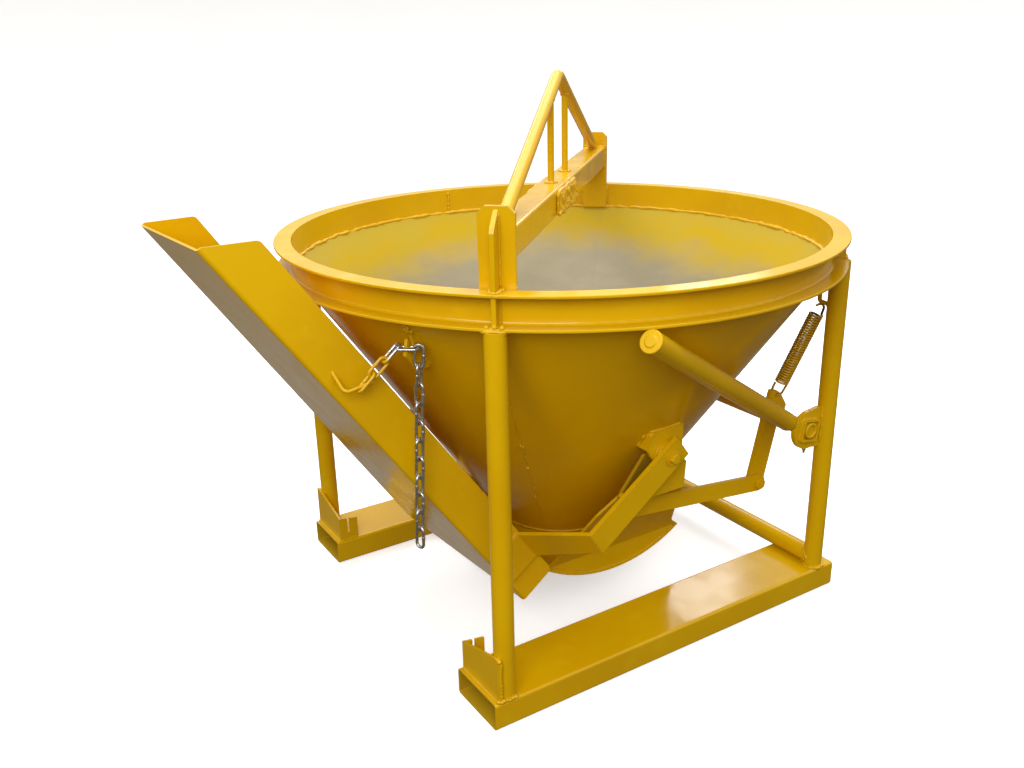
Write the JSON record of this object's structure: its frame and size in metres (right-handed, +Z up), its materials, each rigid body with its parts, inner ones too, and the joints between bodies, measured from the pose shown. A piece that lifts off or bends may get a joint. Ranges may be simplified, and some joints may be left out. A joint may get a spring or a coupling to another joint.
{
  "type": "concrete kibble bucket",
  "caption": "Conical steel concrete hopper on a tubular frame with fork pockets, lifting bail, lever-operated outlet gate and hinged discharge chute held up by a chain.",
  "frame": {"origin": "centre of the bounding box at floor level", "axes": "+X along the fork pockets towards the return spring, -X towards the chute, -Y towards the handle side, +Z up"},
  "size_m": [1.7078, 1.4399, 1.3758],
  "materials": {
    "yellow_paint": "gloss",
    "galvanised_steel": "satin",
    "spring_steel": "satin"
  },
  "bodies": {
    "frame": {"bail_keepers": "yellow_paint", "base_tie_tube": "yellow_paint", "beam_doublers": "yellow_paint", "beam_posts": "yellow_paint", "chain_hook": "yellow_paint", "chute_rest_far": "yellow_paint", "chute_rest_near": "yellow_paint", "cone_plate_far": "yellow_paint", "cone_plate_left": "yellow_paint", "cone_plate_near": "yellow_paint", "cone_plate_right": "yellow_paint", "fork_pocket_far": "yellow_paint", "fork_pocket_near": "yellow_paint", "grease_nipples": "yellow_paint", "hopper_rim_left": "yellow_paint", "hopper_rim_right": "yellow_paint", "leg_far_left": "yellow_paint", "leg_far_right": "yellow_paint", "leg_near_left": "yellow_paint", "leg_near_right": "yellow_paint", "lifting_bail": "yellow_paint", "lifting_beam": "yellow_paint", "outlet_collar": "yellow_paint", "pivot_bolts": "yellow_paint", "pivot_bracket_far": "yellow_paint", "pivot_bracket_near": "yellow_paint", "pivot_nuts": "yellow_paint", "pivot_spacers": "yellow_paint", "pivot_washers": "yellow_paint", "post_ribs": "yellow_paint", "return_spring": "spring_steel", "rim_ribs": "yellow_paint", "shaft_bearing_far": "yellow_paint", "shaft_bearing_near": "yellow_paint", "shaft_keepers": "yellow_paint", "spring_anchor": "yellow_paint"},
    "lever": {"cross_shaft": "yellow_paint", "shaft_plugs": "yellow_paint", "handle_tube": "yellow_paint", "handle_cap": "yellow_paint", "bell_crank_near": "yellow_paint", "bell_crank_far": "yellow_paint", "crank_bolts": "yellow_paint", "crank_nuts": "yellow_paint"},
    "links": {"link_near": "yellow_paint", "link_far": "yellow_paint"},
    "gate": {"gate_plate": "yellow_paint", "gate_side_near": "yellow_paint", "gate_side_far": "yellow_paint", "gate_pins": "yellow_paint", "gate_stop_bolts": "yellow_paint"},
    "chute": {"chute_trough": "yellow_paint", "chute_arm_near": "yellow_paint", "chute_arm_far": "yellow_paint", "chain_staple": "yellow_paint"},
    "chain_run": {"chain_run": "galvanised_steel"},
    "chain_tail": {"chain_tail": "galvanised_steel"}
  },
  "joints": [
    {"name": "lever", "type": "hinge", "parent": "frame", "child": "lever", "pos_m": [0.5659, 0, 0.485], "axis": [0, -1, 0], "range_deg": [0, 42], "stiffness_Nm_per_rad": 25, "springref_deg": -34.38, "deforming": ["return_spring"]},
    {"name": "gate", "type": "hinge", "parent": "frame", "child": "gate", "pos_m": [0.1339, 0, 0.508], "axis": [0, -1, 0], "range_deg": [0, 47]},
    {"name": "links", "type": "hinge", "parent": "lever", "child": "links", "pos_m": [0.5199, 0, 0.301], "axis": [0, -1, 0], "range_deg": [-42, 0]},
    {"name": "chute", "type": "hinge", "parent": "frame", "child": "chute", "pos_m": [0.1339, 0, 0.508], "axis": [0, -1, 0], "range_deg": [0, 80], "deforming": ["chain_run", "chain_tail"]},
    {"name": "chain_run", "type": "hinge", "parent": "chute", "child": "chain_run", "pos_m": [-0.5529, -0.266, 0.77584], "axis": [0, -1, 0], "range_deg": [-216, 0]},
    {"name": "chain_tail", "type": "hinge", "parent": "chain_run", "child": "chain_tail", "pos_m": [-0.43796, -0.30708, 0.8472], "axis": [0, -1, 0], "range_deg": [0, 136]}
  ],
  "couplings": [
    {"joint": "gate", "follows": "lever", "ratio": 1.1153},
    {"joint": "links", "follows": "lever", "ratio": -0.9518},
    {"joint": "chain_run", "follows": "chute", "ratio": -2.66},
    {"joint": "chain_tail", "follows": "chute", "ratio": 1.66}
  ]
}
